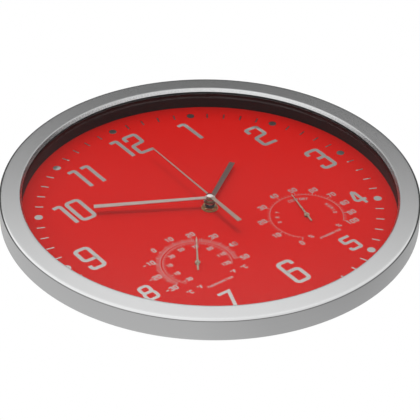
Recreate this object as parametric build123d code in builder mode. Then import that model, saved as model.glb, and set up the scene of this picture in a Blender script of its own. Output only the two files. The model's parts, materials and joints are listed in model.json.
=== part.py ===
from build123d import *
from math import cos, radians, sin
import os

# Round wall clock, 350 mm across, with a thermometer and a hygrometer on its dial.
# Millimetres. +Z is up (12 o'clock), the face looks along -Y, and the wall is the plane y = 0.
# The origin is on the hands' axis, in the wall's plane.
# A depth is measured back from the bezel's front face, a height out from the dial's front.

os.makedirs("parts", exist_ok=True)

# ---------------------------------------------------------------- driving dimensions

clock_radius = 175.0
clock_depth = 43.0

edge_round = 2.25
band_depth = 20.05
face_fall = 0.35
sheet = 1.4
face_inner_radius = 157.7
lip_radius = 156.1
lip_depth = 2.85
rear_flange_radius = 162.0

gasket_thickness = 0.4
glass_radius = 160.5
glass_thickness = 2.0
dial_window_radius = 157.7
dial_thickness = 1.0
dial_depth = band_depth

housing_radius = 171.5
housing_wall = 2.2
housing_back = 42.0
screw_circle = 166.5
housing_screw_count = 8

movement_size = 56.0
movement_gap = 1.0
movement_depth = 16.0
case_wall = 1.4
bay_top = -12.4

hour_angle = 54.4
minute_angle = 300.7
second_angle = 1.9
hour_hand_length = 64.0
minute_hand_length = 97.0
second_hand_length = 87.2
second_tail_length = 42.4

thermometer_x = -54.6
hygrometer_x = 58.8
instrument_z = -56.3
thermometer_angle = 34.8
hygrometer_angle = 14.7

running_clearance = 0.05
seat_clearance = 0.02

# ---------------------------------------------------------------- places and planes


def facing(depth, x=0, z=0, clockwise=0):
    """A sketch plane at a depth, seen from the front: x to the right, y up, then turned clockwise."""
    right = (cos(radians(clockwise)), 0, -sin(radians(clockwise)))
    return Plane(origin=(x, depth - clock_depth, z), x_dir=right, z_dir=(0, -1, 0))


def section(x=0, z=0):
    """A half-section through a front-to-back axis: x is the radius, y is the depth."""
    return Plane(origin=(x, -clock_depth, z), x_dir=(1, 0, 0), z_dir=(0, 0, 1))


def axis_at(x=0, z=0):
    """The front-to-back axis through (x, z)."""
    return Axis((x, 0, z), (0, 1, 0))


def above_dial(height):
    """The depth of a point at a height in front of the dial."""
    return dial_depth - height


def behind_plate(distance):
    """The depth of a point at a distance behind the movement's front plate."""
    return movement_front + distance


def polar(radius, angle):
    """A point at an angle counted anticlockwise from 3 o'clock."""
    return (radius * cos(radians(angle)), radius * sin(radians(angle)))


def outline(points):
    """A closed straight-sided face in the XY plane."""
    with BuildSketch() as flat:
        with BuildLine():
            Polyline(*points, close=True)
        make_face()
    return flat.sketch


def turned_face(points, x=0, z=0):
    """A closed (radius, depth) outline, standing in the half-section plane of an axis."""
    with BuildSketch(section(x, z)) as profile:
        with BuildLine():
            Polyline(*points, close=True)
        make_face()
    return profile.sketch


def stepped_shaft(steps, bore=0.0):
    """Outline points of a shaft from (radius, start depth, end depth) steps, front to back."""
    points = [(bore, steps[0][1])]
    for radius, start, end in steps:
        points += [(radius, start), (radius, end)]
    points.append((bore, steps[-1][2]))
    return points


def save(part, label):
    """Label a finished piece and write its STEP file."""
    part.label = label
    export_step(part, "parts/" + label + ".step")


dial_back = dial_depth + dial_thickness
movement_front = dial_back + movement_gap

# ---------------------------------------------------------------- gear train layout

ADDENDUM = 0.8
DEDENDUM = 1.0
TIP_SHARE = 0.20
ROOT_SHARE = 0.50

train_module = 0.3
motion_module = 0.35

rotor_pinion_teeth = 8
intermediate_teeth = 40
intermediate_pinion_teeth = 10
seconds_teeth = 60
seconds_pinion_teeth = 8
third_teeth = 60
third_pinion_teeth = 8
centre_teeth = 64
cannon_teeth = 12
motion_teeth = 36
motion_pinion_teeth = 10
hour_teeth = 40
knob_teeth = 12

third_reach = train_module * (seconds_pinion_teeth + third_teeth) / 2
intermediate_reach = train_module * (intermediate_pinion_teeth + seconds_teeth) / 2
rotor_reach = train_module * (rotor_pinion_teeth + intermediate_teeth) / 2
motion_reach = motion_module * (cannon_teeth + motion_teeth) / 2
centre_module = 2 * third_reach / (third_pinion_teeth + centre_teeth)
hour_module = 2 * motion_reach / (motion_pinion_teeth + hour_teeth)

third_bearing = 40.0
intermediate_bearing = 110.0
rotor_bearing = 150.0
motion_bearing = 200.0
knob_bearing = 180.0

third_x, third_z = polar(third_reach, third_bearing)
intermediate_x, intermediate_z = polar(intermediate_reach, intermediate_bearing)
rotor_x = intermediate_x + polar(rotor_reach, rotor_bearing)[0]
rotor_z = intermediate_z + polar(rotor_reach, rotor_bearing)[1]
motion_x, motion_z = polar(motion_reach, motion_bearing)
knob_x = motion_x + polar(motion_reach, knob_bearing)[0]
knob_z = motion_z + polar(motion_reach, knob_bearing)[1]


def gear(teeth, module, phase, bore=0.0):
    """A spur gear's face with narrow teeth, one of them centred at the phase angle."""
    pitch_radius = teeth * module / 2
    root = pitch_radius - DEDENDUM * module
    tip = pitch_radius + ADDENDUM * module
    tooth_angle = 360 / teeth
    points = []
    for number in range(teeth):
        middle = phase + number * tooth_angle
        points.append(polar(root, middle - ROOT_SHARE * tooth_angle / 2))
        points.append(polar(tip, middle - TIP_SHARE * tooth_angle / 2))
        points.append(polar(tip, middle + TIP_SHARE * tooth_angle / 2))
        points.append(polar(root, middle + ROOT_SHARE * tooth_angle / 2))
    with BuildSketch() as face:
        add(outline(points))
        if bore:
            Circle(bore, mode=Mode.SUBTRACT)
    return face.sketch


def meshed(phase, teeth, other_teeth, bearing):
    """The phase of a gear that meshes with one at the given phase, seen along the bearing."""
    return bearing + 180 + (bearing - phase) * teeth / other_teeth + 180 / other_teeth


# Layers of the train, as distances behind the movement's front plate.
hour_layer = 2.0
motion_layer = 3.7
centre_layer = 5.1
third_layer = 6.6
bridge_layer = 7.9
seconds_layer = 9.2
intermediate_layer = 10.6
cover_layer = 14.4
wheel_thickness = 0.8
pinion_overhang = 0.1
motion_pinion_thickness = 1.4
hour_wheel_thickness = 1.2
arbor_radius = 0.5
pivot_radius = 0.45
pivot_bore = pivot_radius + running_clearance

# Radii on the hands' axis.
bush_radius = 4.0
hour_tube_radius = 2.55
hour_tube_bore = 1.80
minute_arbor_radius = 1.75
minute_arbor_bore = 0.77
seconds_arbor_radius = 0.70
seconds_tip_radius = 0.50
bush_bore = hour_tube_radius + running_clearance

# Heights in front of the dial.
bush_top = 4.2
washer_thickness = 0.5
nut_height = 2.4
hour_tube_top = 8.2
minute_arbor_top = 11.4
seconds_arbor_top = 13.0
hour_hand_height = 6.9
minute_hand_height = 10.2
second_hand_height = 12.3
cap_top_height = 13.9

# ---------------------------------------------------------------- case front

# The bezel's face is a very flat cone: it falls away towards its rounded outer edge.
edge_start = clock_radius - edge_round

with BuildPart() as bezel:
    with BuildSketch(section()):
        with BuildLine():
            Polyline((lip_radius, lip_depth), (face_inner_radius, 0), (edge_start, face_fall))
            RadiusArc((edge_start, face_fall), (clock_radius, face_fall + edge_round), -edge_round)
            Polyline(
                (clock_radius, face_fall + edge_round),
                (clock_radius, band_depth),
                (rear_flange_radius, band_depth),
                (rear_flange_radius, band_depth - sheet),
                (clock_radius - sheet, band_depth - sheet),
                (clock_radius - sheet, face_fall + edge_round),
                (edge_start, face_fall + sheet),
                (face_inner_radius + 0.9, sheet),
                (lip_radius + 1.5, lip_depth),
                (lip_radius, lip_depth),
            )
        make_face()
    revolve(axis=axis_at())
    with BuildSketch(facing(band_depth)):
        with PolarLocations(screw_circle, housing_screw_count, start_angle=22.5):
            Circle(1.25)
    extrude(amount=sheet, mode=Mode.SUBTRACT)
save(bezel.part, "bezel")

glass_front = lip_depth + gasket_thickness
glass_back = glass_front + glass_thickness

with BuildPart() as glass_gasket:
    gasket_points = [
        (lip_radius + 1.1, lip_depth),
        (glass_radius + 1.2, lip_depth),
        (glass_radius + 1.2, glass_back),
        (glass_radius + 0.1, glass_back),
        (glass_radius + 0.1, glass_front),
        (lip_radius + 1.1, glass_front),
    ]
    add(turned_face(gasket_points))
    revolve(axis=axis_at())
save(glass_gasket.part, "glass_gasket")

with BuildPart() as front_glass:
    with BuildSketch(facing(glass_front)):
        Circle(glass_radius)
    extrude(amount=-glass_thickness)
    chamfer(front_glass.edges().filter_by(GeomType.CIRCLE), 0.3)
save(front_glass.part, "front_glass")

with BuildPart() as inner_ring:
    ring_wall = 1.6
    ring_points = [
        (dial_window_radius - 0.9, glass_back),
        (glass_radius, glass_back),
        (glass_radius, glass_back + 1.5),
        (dial_window_radius + ring_wall - 0.8, glass_back + 1.5),
        (dial_window_radius + ring_wall - 0.1, dial_depth - 1.2),
        (glass_radius, dial_depth - 1.2),
        (glass_radius, dial_depth),
        (dial_window_radius, dial_depth),
    ]
    add(turned_face(ring_points))
    revolve(axis=axis_at())
save(inner_ring.part, "inner_ring")

with BuildPart() as dial:
    with BuildSketch(facing(dial_depth)):
        Circle(glass_radius)
        Circle(bush_radius + 0.2, mode=Mode.SUBTRACT)
        with Locations((thermometer_x, instrument_z), (hygrometer_x, instrument_z)):
            Circle(2.0, mode=Mode.SUBTRACT)
    extrude(amount=-dial_thickness)
save(dial.part, "dial")

# ---------------------------------------------------------------- housing and hanging

rim_thickness = 2.2
cone_top_radius = 163.5
cone_foot_radius = 141.0
cone_foot_depth = housing_back - 1.6
shelf_radius = 150.0
rear_wall_front = housing_back - housing_wall
pocket = movement_size / 2 + 2.0
pad_places = [(-88, -88), (88, -88), (-88, 88), (88, 88)]
hanger_z = 92.0
rivet_radius = 1.6
rivet_places = [(-17, hanger_z), (17, hanger_z)]
ear_reach = 25.5
post_radius = 3.4
cup_bottom = 29.7
instrument_places = [(thermometer_x, instrument_z), (hygrometer_x, instrument_z)]
ear_places = [(x + side * ear_reach, z) for x, z in instrument_places for side in (-1, 1)]

with BuildPart() as back_housing:
    housing_points = [
        (glass_radius + 0.3, dial_depth),
        (housing_radius, dial_depth),
        (housing_radius, dial_depth + rim_thickness),
        (cone_top_radius, dial_depth + rim_thickness),
        (cone_foot_radius, cone_foot_depth),
        (cone_foot_radius - 2.5, housing_back),
        (0, housing_back),
        (0, rear_wall_front),
        (cone_foot_radius - 2.75, rear_wall_front),
        (cone_top_radius - 4.45, dial_back + 2.0),
        (shelf_radius, dial_back + 2.0),
        (shelf_radius, dial_back),
        (glass_radius + 0.3, dial_back),
    ]
    add(turned_face(housing_points))
    revolve(axis=axis_at())
    # Collar of the movement's pocket, and posts that carry the dial and the instruments.
    with BuildSketch(facing(rear_wall_front)):
        RectangleRounded(2 * pocket + 4, 2 * pocket + 4, 4)
    extrude(amount=rear_wall_front - dial_back - 1.5)
    with BuildSketch(facing(rear_wall_front)):
        with PolarLocations(118, 6, start_angle=30):
            Circle(4.5)
            Circle(2.0, mode=Mode.SUBTRACT)
    extrude(amount=rear_wall_front - dial_back)
    with BuildSketch(facing(rear_wall_front)):
        with Locations(*ear_places):
            Circle(post_radius)
    extrude(amount=rear_wall_front - cup_bottom)
    # Pocket, screw holes, hanger cut-out and ventilation slots.
    with BuildSketch(facing(housing_back)):
        RectangleRounded(2 * pocket, 2 * pocket, 2)
    extrude(amount=housing_back - dial_back - 1.0, mode=Mode.SUBTRACT)
    with BuildSketch(facing(dial_depth + rim_thickness)):
        with PolarLocations(screw_circle, housing_screw_count, start_angle=22.5):
            Circle(1.6)
    extrude(amount=rim_thickness, mode=Mode.SUBTRACT)
    with BuildSketch(facing(cup_bottom)):
        with Locations(*ear_places):
            Circle(1.1)
    extrude(amount=-7.0, mode=Mode.SUBTRACT)
    with BuildSketch(facing(housing_back)):
        with Locations((0, hanger_z)):
            RectangleRounded(24, 30, 3)
        with Locations(*rivet_places):
            Circle(rivet_radius + running_clearance)
        for x, z in instrument_places:
            with Locations((x, z - 14)):
                with GridLocations(0, 7, 1, 5):
                    SlotOverall(30, 3)
    extrude(amount=housing_wall, mode=Mode.SUBTRACT)
save(back_housing.part, "back_housing")

with BuildPart() as housing_screws:
    with BuildSketch(facing(dial_depth + rim_thickness)):
        with PolarLocations(screw_circle, housing_screw_count, start_angle=22.5):
            Circle(2.5)
    extrude(amount=-1.5)
    fillet(housing_screws.faces().sort_by(Axis.Y)[-housing_screw_count:].edges(), 0.6)
    with BuildSketch(facing(dial_depth + rim_thickness)):
        with PolarLocations(screw_circle, housing_screw_count, start_angle=22.5):
            Circle(1.2)
    extrude(amount=rim_thickness + sheet)
    with BuildSketch(facing(dial_depth + rim_thickness + 1.5)):
        with PolarLocations(screw_circle, housing_screw_count, start_angle=22.5):
            Rectangle(2.8, 0.5)
            Rectangle(0.5, 2.8)
    extrude(amount=0.7, mode=Mode.SUBTRACT)
save(housing_screws.part, "housing_screws")

with BuildPart() as hanger_plate:
    with BuildSketch(facing(clock_depth)):
        with Locations((0, hanger_z)):
            RectangleRounded(44, 34, 4)
        with Locations((0, hanger_z - 5)):
            Circle(5.0, mode=Mode.SUBTRACT)
        with Locations((0, hanger_z + 1)):
            SlotOverall(16.6, 4.6, rotation=90, mode=Mode.SUBTRACT)
        with Locations(*rivet_places):
            Circle(rivet_radius + running_clearance, mode=Mode.SUBTRACT)
    extrude(amount=clock_depth - housing_back)
save(hanger_plate.part, "hanger_plate")

with BuildPart() as hanger_rivets:
    with BuildSketch(facing(clock_depth - 0.1)):
        with Locations(*rivet_places):
            Circle(rivet_radius)
    extrude(amount=clock_depth - 0.1 - rear_wall_front)
    with BuildSketch(facing(rear_wall_front)):
        with Locations(*rivet_places):
            Circle(3.0)
    extrude(amount=1.0)
    fillet(hanger_rivets.faces().sort_by(Axis.Y)[:2].edges(), 0.5)
save(hanger_rivets.part, "hanger_rivets")

with BuildPart() as wall_pads:
    with BuildSketch(facing(clock_depth)):
        with Locations(*pad_places):
            Circle(7.0)
    extrude(amount=clock_depth - housing_back)
    chamfer(wall_pads.faces().sort_by(Axis.Y)[-4:].edges(), 0.4)
save(wall_pads.part, "wall_pads")

# ---------------------------------------------------------------- movement case

case_front_wall = 1.6
inner_half = movement_size / 2 - case_wall
bay_height = bay_top + inner_half
bay_middle = (bay_top - inner_half) / 2
train_floor = bay_top + 1.0
train_height = inner_half - train_floor
train_middle = (inner_half + train_floor) / 2
bridge_posts = [(-13.0, 4.5), (11.5, -6.0), (14.5, 15.5)]
board_posts = [(22.0, -6.5), (22.0, 14.5)]
bridge_screw_radius = 0.8
stud_radius = 0.7
knob_pivot_radius = 0.9
knob_stem_radius = 1.2

with BuildPart() as movement_case:
    with BuildSketch(facing(movement_front)):
        RectangleRounded(movement_size, movement_size, 2)
    extrude(amount=-cover_layer)
    with BuildSketch(facing(behind_plate(case_front_wall))):
        with Locations((0, train_middle)):
            Rectangle(2 * inner_half, train_height)
        with Locations((0, bay_middle)):
            Rectangle(2 * inner_half, bay_height)
    extrude(amount=-cover_layer, mode=Mode.SUBTRACT)
    with BuildSketch(facing(movement_front)):
        Circle(bush_radius)
    extrude(amount=movement_front - above_dial(bush_top))
    chamfer(movement_case.faces().sort_by(Axis.Y)[0].edges(), 0.3)
    with BuildSketch(facing(behind_plate(bridge_layer))):
        with Locations(*bridge_posts):
            Circle(1.4)
            Circle(bridge_screw_radius, mode=Mode.SUBTRACT)
    extrude(amount=bridge_layer - case_front_wall)
    with BuildSketch(facing(behind_plate(4.0))):
        with Locations(*board_posts):
            Circle(1.5)
    extrude(amount=4.0 - case_front_wall)
    with BuildSketch(facing(behind_plate(motion_layer + 1.1))):
        with Locations((motion_x, motion_z)):
            Circle(stud_radius)
    extrude(amount=motion_layer + 1.1 - case_front_wall)
    with BuildSketch(facing(above_dial(bush_top))):
        Circle(bush_bore)
    extrude(amount=-(bush_top + dial_thickness + movement_gap + case_front_wall), mode=Mode.SUBTRACT)
    with BuildSketch(facing(behind_plate(case_front_wall))):
        with Locations((third_x, third_z), (rotor_x, rotor_z)):
            Circle(pivot_bore)
        with Locations((knob_x, knob_z)):
            Circle(knob_pivot_radius + running_clearance)
    extrude(amount=1.2, mode=Mode.SUBTRACT)
save(movement_case.part, "movement_case")

with BuildPart() as movement_cover:
    with BuildSketch(facing(behind_plate(cover_layer))):
        RectangleRounded(movement_size, movement_size, 2)
        with Locations((0, bay_middle)):
            Rectangle(2 * inner_half, bay_height, mode=Mode.SUBTRACT)
        with Locations((knob_x, knob_z)):
            Circle(knob_stem_radius + running_clearance, mode=Mode.SUBTRACT)
    extrude(amount=-(movement_depth - cover_layer))
    with BuildSketch(facing(behind_plate(cover_layer))):
        Circle(pivot_bore)
        with Locations((intermediate_x, intermediate_z), (rotor_x, rotor_z)):
            Circle(pivot_bore)
    extrude(amount=-1.0, mode=Mode.SUBTRACT)
    # A shallow round recess that frames the setting knob.
    with BuildSketch(facing(behind_plate(movement_depth))):
        with Locations((knob_x, knob_z)):
            Circle(5.6)
            Circle(2.4, mode=Mode.SUBTRACT)
    extrude(amount=0.5, mode=Mode.SUBTRACT)
save(movement_cover.part, "movement_cover")

with BuildPart() as rubber_washer:
    with BuildSketch(facing(dial_back)):
        Circle(10.0)
        Circle(bush_radius + 0.2, mode=Mode.SUBTRACT)
    extrude(amount=-movement_gap)
save(rubber_washer.part, "rubber_washer")

with BuildPart() as brass_washer:
    with BuildSketch(facing(above_dial(washer_thickness))):
        Circle(7.0)
        Circle(bush_radius + 0.1, mode=Mode.SUBTRACT)
    extrude(amount=-washer_thickness)
save(brass_washer.part, "brass_washer")

nut_across_flats = 11.0
nut_corner = nut_across_flats / 2 / cos(radians(30))

with BuildPart() as hex_nut:
    with BuildSketch(facing(above_dial(washer_thickness + nut_height))):
        RegularPolygon(nut_corner, 6, rotation=15)
        Circle(bush_radius + seat_clearance, mode=Mode.SUBTRACT)
    extrude(amount=-nut_height)
    nut_blank = [
        (0, above_dial(washer_thickness + nut_height)),
        (nut_corner - 0.8, above_dial(washer_thickness + nut_height)),
        (nut_corner + 0.1, above_dial(washer_thickness + nut_height - 0.6)),
        (nut_corner + 0.1, above_dial(washer_thickness)),
        (0, above_dial(washer_thickness)),
    ]
    add(turned_face(nut_blank))
    revolve(axis=axis_at(), mode=Mode.INTERSECT)
save(hex_nut.part, "hex_nut")

with BuildPart() as wheel_bridge:
    with BuildSketch(facing(behind_plate(bridge_layer))):
        with Locations(*bridge_posts, (intermediate_x, intermediate_z)):
            Circle(2.4)
        make_hull()
        with Locations(*bridge_posts):
            Circle(bridge_screw_radius, mode=Mode.SUBTRACT)
        Circle(seconds_arbor_radius + running_clearance, mode=Mode.SUBTRACT)
        with Locations((third_x, third_z), (intermediate_x, intermediate_z)):
            Circle(pivot_bore, mode=Mode.SUBTRACT)
    extrude(amount=-wheel_thickness)
save(wheel_bridge.part, "wheel_bridge")

with BuildPart() as bridge_screws:
    with BuildSketch(facing(behind_plate(bridge_layer + wheel_thickness + 0.7))):
        with Locations(*bridge_posts):
            Circle(1.4)
            Rectangle(2.0, 0.4, mode=Mode.SUBTRACT)
    extrude(amount=0.7)
    with BuildSketch(facing(behind_plate(bridge_layer + wheel_thickness))):
        with Locations(*bridge_posts):
            Circle(bridge_screw_radius - seat_clearance)
    extrude(amount=4.0)
save(bridge_screws.part, "bridge_screws")

# ---------------------------------------------------------------- movement electrics

board_layer = 4.0
board_thickness = 1.0
stator_layer = 6.0
coil_z = 22.0
coil_left = -14.0
coil_right = 3.0
core_layer = stator_layer - 1.0
flange_thickness = 0.8
core_screw_places = [(-16.5, coil_z), (5.5, coil_z)]

with BuildPart() as circuit_board:
    with BuildSketch(facing(behind_plate(board_layer))):
        with Locations((22.0, 4.0)):
            Rectangle(8.4, 28.0)
    extrude(amount=-board_thickness)
save(circuit_board.part, "circuit_board")

with BuildPart() as clock_chip:
    with BuildSketch(facing(behind_plate(board_layer + board_thickness))):
        with Locations((22.0, 7.0)):
            Circle(2.8)
    extrude(amount=-1.1)
    fillet(clock_chip.faces().sort_by(Axis.Y)[-1].edges(), 0.9)
save(clock_chip.part, "clock_chip")

with BuildPart() as quartz_crystal:
    crystal_plane = Plane(
        origin=(21.0, behind_plate(board_layer + board_thickness + 1.5) - clock_depth, -9.0),
        x_dir=(1, 0, 0),
        z_dir=(0, 0, 1),
    )
    with BuildSketch(crystal_plane):
        Circle(1.5)
    extrude(amount=7.5)
    fillet(quartz_crystal.faces().sort_by(Axis.Z)[-1].edges(), 0.4)
save(quartz_crystal.part, "quartz_crystal")

with BuildPart() as stator:
    with BuildSketch(facing(behind_plate(stator_layer))):
        with Locations((rotor_x, rotor_z)):
            Rectangle(13.0, 9.0)
        with Locations((-16.5, 18.4)):
            Rectangle(4.0, 9.6)
        with Locations((0.75, 17.4)):
            Rectangle(13.5, 2.0)
        with Locations((5.5, 19.8)):
            Rectangle(4.0, 6.8)
        with Locations((rotor_x, rotor_z)):
            Circle(3.4, mode=Mode.SUBTRACT)
        with Locations(*core_screw_places):
            Circle(0.9, mode=Mode.SUBTRACT)
    extrude(amount=-1.0)
save(stator.part, "stator")

with BuildPart() as coil_core:
    with BuildSketch(facing(behind_plate(core_layer))):
        with Locations((-5.5, coil_z)):
            Rectangle(26.0, 2.4)
        with Locations(*core_screw_places):
            Circle(0.9, mode=Mode.SUBTRACT)
    extrude(amount=-1.0)
save(coil_core.part, "coil_core")

with BuildPart() as core_screws:
    with BuildSketch(facing(behind_plate(core_layer))):
        with Locations(*core_screw_places):
            Circle(1.6)
            Rectangle(2.2, 0.4, mode=Mode.SUBTRACT)
    extrude(amount=0.8)
    with BuildSketch(facing(behind_plate(core_layer))):
        with Locations(*core_screw_places):
            Circle(0.88)
    extrude(amount=-2.4)
save(core_screws.part, "core_screws")


def across(x, z, distance):
    """A sketch plane that looks along +X, for pieces that lie across the clock."""
    return Plane(origin=(x, behind_plate(distance) - clock_depth, z), x_dir=(0, 1, 0), z_dir=(1, 0, 0))


coil_middle_layer = core_layer + 0.5

with BuildPart() as coil_bobbin:
    with BuildSketch(across(coil_left, coil_z, coil_middle_layer)):
        Rectangle(2.4, 3.8)
    extrude(amount=coil_right - coil_left)
    with BuildSketch(across(coil_left, coil_z, coil_middle_layer)):
        RectangleRounded(6.4, 6.6, 0.8)
    extrude(amount=flange_thickness)
    with BuildSketch(across(coil_right - flange_thickness, coil_z, coil_middle_layer)):
        RectangleRounded(6.4, 6.6, 0.8)
    extrude(amount=flange_thickness)
    with BuildSketch(across(coil_left, coil_z, coil_middle_layer)):
        Rectangle(1.04, 2.44)
    extrude(amount=coil_right - coil_left, mode=Mode.SUBTRACT)
save(coil_bobbin.part, "coil_bobbin")

with BuildPart() as coil_winding:
    with BuildSketch(across(coil_left + flange_thickness, coil_z, coil_middle_layer)):
        Circle(3.1)
        Rectangle(2.4, 3.8, mode=Mode.SUBTRACT)
    extrude(amount=coil_right - coil_left - 2 * flange_thickness)
save(coil_winding.part, "coil_winding")

battery_radius = 7.0
battery_z = -19.5
battery_layer = 9.0
battery_left = -24.6
battery_right = 24.4
nub_length = 1.1

with BuildPart() as battery:
    with BuildSketch(across(battery_left, battery_z, battery_layer)):
        Circle(battery_radius)
    extrude(amount=battery_right - battery_left)
    fillet(battery.edges().filter_by(GeomType.CIRCLE), 0.5)
    with BuildSketch(across(battery_right, battery_z, battery_layer)):
        Circle(2.6)
    extrude(amount=nub_length)
save(battery.part, "battery")

with BuildPart() as positive_contact:
    with BuildSketch(across(battery_right + nub_length, battery_z, battery_layer)):
        Rectangle(10.0, 11.0)
    extrude(amount=0.4)
save(positive_contact.part, "positive_contact")

with BuildPart() as negative_contact:
    with BuildSketch(across(-26.4, battery_z, battery_layer)):
        Rectangle(10.0, 11.0)
    extrude(amount=0.4)
    with BuildSketch(across(-26.0, battery_z, battery_layer)):
        Circle(4.0)
    with BuildSketch(across(battery_left, battery_z, battery_layer)):
        Circle(2.2)
    loft()
save(negative_contact.part, "negative_contact")

# ---------------------------------------------------------------- movement train

pinion_thickness = wheel_thickness + 2 * pinion_overhang
third_phase = meshed(0, seconds_pinion_teeth, third_teeth, third_bearing)
centre_phase = meshed(0, third_pinion_teeth, centre_teeth, third_bearing + 180)
intermediate_pinion_phase = meshed(0, seconds_teeth, intermediate_pinion_teeth, intermediate_bearing)
rotor_phase = meshed(0, intermediate_teeth, rotor_pinion_teeth, rotor_bearing)
motion_phase = meshed(0, cannon_teeth, motion_teeth, motion_bearing)
knob_phase = meshed(motion_phase, motion_teeth, knob_teeth, knob_bearing)
hour_phase = meshed(0, motion_pinion_teeth, hour_teeth, motion_bearing + 180)

with BuildPart() as rotor_pinion:
    rotor_steps = [
        (pivot_radius, behind_plate(0.6), behind_plate(1.8)),
        (arbor_radius, behind_plate(1.8), behind_plate(14.3)),
        (pivot_radius, behind_plate(14.3), behind_plate(15.2)),
    ]
    add(turned_face(stepped_shaft(rotor_steps), rotor_x, rotor_z))
    revolve(axis=axis_at(rotor_x, rotor_z))
    with BuildSketch(facing(behind_plate(intermediate_layer - pinion_overhang), rotor_x, rotor_z)):
        add(gear(rotor_pinion_teeth, train_module, rotor_phase))
    extrude(amount=-pinion_thickness)
save(rotor_pinion.part, "rotor_pinion")

with BuildPart() as rotor_magnet:
    with BuildSketch(facing(behind_plate(5.2), rotor_x, rotor_z)):
        Circle(3.0)
        Circle(arbor_radius + seat_clearance, mode=Mode.SUBTRACT)
    extrude(amount=-2.6)
save(rotor_magnet.part, "rotor_magnet")

with BuildPart() as intermediate_wheel:
    intermediate_steps = [
        (pivot_radius, behind_plate(bridge_layer + 0.1), behind_plate(8.9)),
        (arbor_radius, behind_plate(8.9), behind_plate(14.3)),
        (pivot_radius, behind_plate(14.3), behind_plate(15.2)),
    ]
    add(turned_face(stepped_shaft(intermediate_steps), intermediate_x, intermediate_z))
    revolve(axis=axis_at(intermediate_x, intermediate_z))
    with BuildSketch(facing(behind_plate(seconds_layer - pinion_overhang), intermediate_x, intermediate_z)):
        add(gear(intermediate_pinion_teeth, train_module, intermediate_pinion_phase))
    extrude(amount=-pinion_thickness)
    with BuildSketch(facing(behind_plate(intermediate_layer), intermediate_x, intermediate_z)):
        add(gear(intermediate_teeth, train_module, 0))
    extrude(amount=-wheel_thickness)
save(intermediate_wheel.part, "intermediate_wheel")

with BuildPart() as seconds_wheel:
    seconds_steps = [
        (seconds_tip_radius, above_dial(seconds_arbor_top), above_dial(minute_arbor_top + 0.1)),
        (seconds_arbor_radius, above_dial(minute_arbor_top + 0.1), behind_plate(14.3)),
        (pivot_radius, behind_plate(14.3), behind_plate(15.2)),
    ]
    add(turned_face(stepped_shaft(seconds_steps)))
    revolve(axis=axis_at())
    with BuildSketch(facing(behind_plate(third_layer - pinion_overhang))):
        add(gear(seconds_pinion_teeth, train_module, 0))
    extrude(amount=-pinion_thickness)
    with BuildSketch(facing(behind_plate(seconds_layer))):
        add(gear(seconds_teeth, train_module, 0))
    extrude(amount=-wheel_thickness)
save(seconds_wheel.part, "seconds_wheel")

with BuildPart() as third_wheel:
    third_steps = [
        (pivot_radius, behind_plate(0.6), behind_plate(1.8)),
        (arbor_radius, behind_plate(1.8), behind_plate(7.7)),
        (pivot_radius, behind_plate(7.7), behind_plate(8.6)),
    ]
    add(turned_face(stepped_shaft(third_steps), third_x, third_z))
    revolve(axis=axis_at(third_x, third_z))
    with BuildSketch(facing(behind_plate(centre_layer - pinion_overhang), third_x, third_z)):
        add(gear(third_pinion_teeth, centre_module, 0))
    extrude(amount=-pinion_thickness)
    with BuildSketch(facing(behind_plate(third_layer), third_x, third_z)):
        add(gear(third_teeth, train_module, third_phase))
    extrude(amount=-wheel_thickness)
save(third_wheel.part, "third_wheel")

with BuildPart() as centre_wheel:
    clutch_bore = minute_arbor_radius + running_clearance
    with BuildSketch(facing(behind_plate(centre_layer))):
        add(gear(centre_teeth, centre_module, centre_phase, clutch_bore))
    extrude(amount=-wheel_thickness)
save(centre_wheel.part, "centre_wheel")

with BuildPart() as minute_arbor:
    minute_steps = [(minute_arbor_radius, above_dial(minute_arbor_top), behind_plate(6.2))]
    add(turned_face(stepped_shaft(minute_steps, minute_arbor_bore)))
    revolve(axis=axis_at())
    cannon_layer = motion_layer - pinion_overhang
    with BuildSketch(facing(behind_plate(cannon_layer))):
        add(gear(cannon_teeth, motion_module, 0, minute_arbor_bore))
    extrude(amount=-pinion_thickness)
save(minute_arbor.part, "minute_arbor")

with BuildPart() as motion_wheel:
    with BuildSketch(facing(behind_plate(hour_layer - pinion_overhang), motion_x, motion_z)):
        Circle(1.3)
        Circle(stud_radius + running_clearance, mode=Mode.SUBTRACT)
    extrude(amount=-(motion_layer + wheel_thickness - hour_layer + pinion_overhang))
    with BuildSketch(facing(behind_plate(hour_layer - pinion_overhang), motion_x, motion_z)):
        add(gear(motion_pinion_teeth, hour_module, 0, stud_radius + running_clearance))
    extrude(amount=-motion_pinion_thickness)
    with BuildSketch(facing(behind_plate(motion_layer), motion_x, motion_z)):
        add(gear(motion_teeth, motion_module, motion_phase, stud_radius + running_clearance))
    extrude(amount=-wheel_thickness)
save(motion_wheel.part, "motion_wheel")

with BuildPart() as hour_wheel:
    hour_steps = [(hour_tube_radius, above_dial(hour_tube_top), behind_plate(3.2))]
    add(turned_face(stepped_shaft(hour_steps, hour_tube_bore)))
    revolve(axis=axis_at())
    with BuildSketch(facing(behind_plate(hour_layer))):
        add(gear(hour_teeth, hour_module, hour_phase, hour_tube_bore))
    extrude(amount=-hour_wheel_thickness)
save(hour_wheel.part, "hour_wheel")

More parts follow.
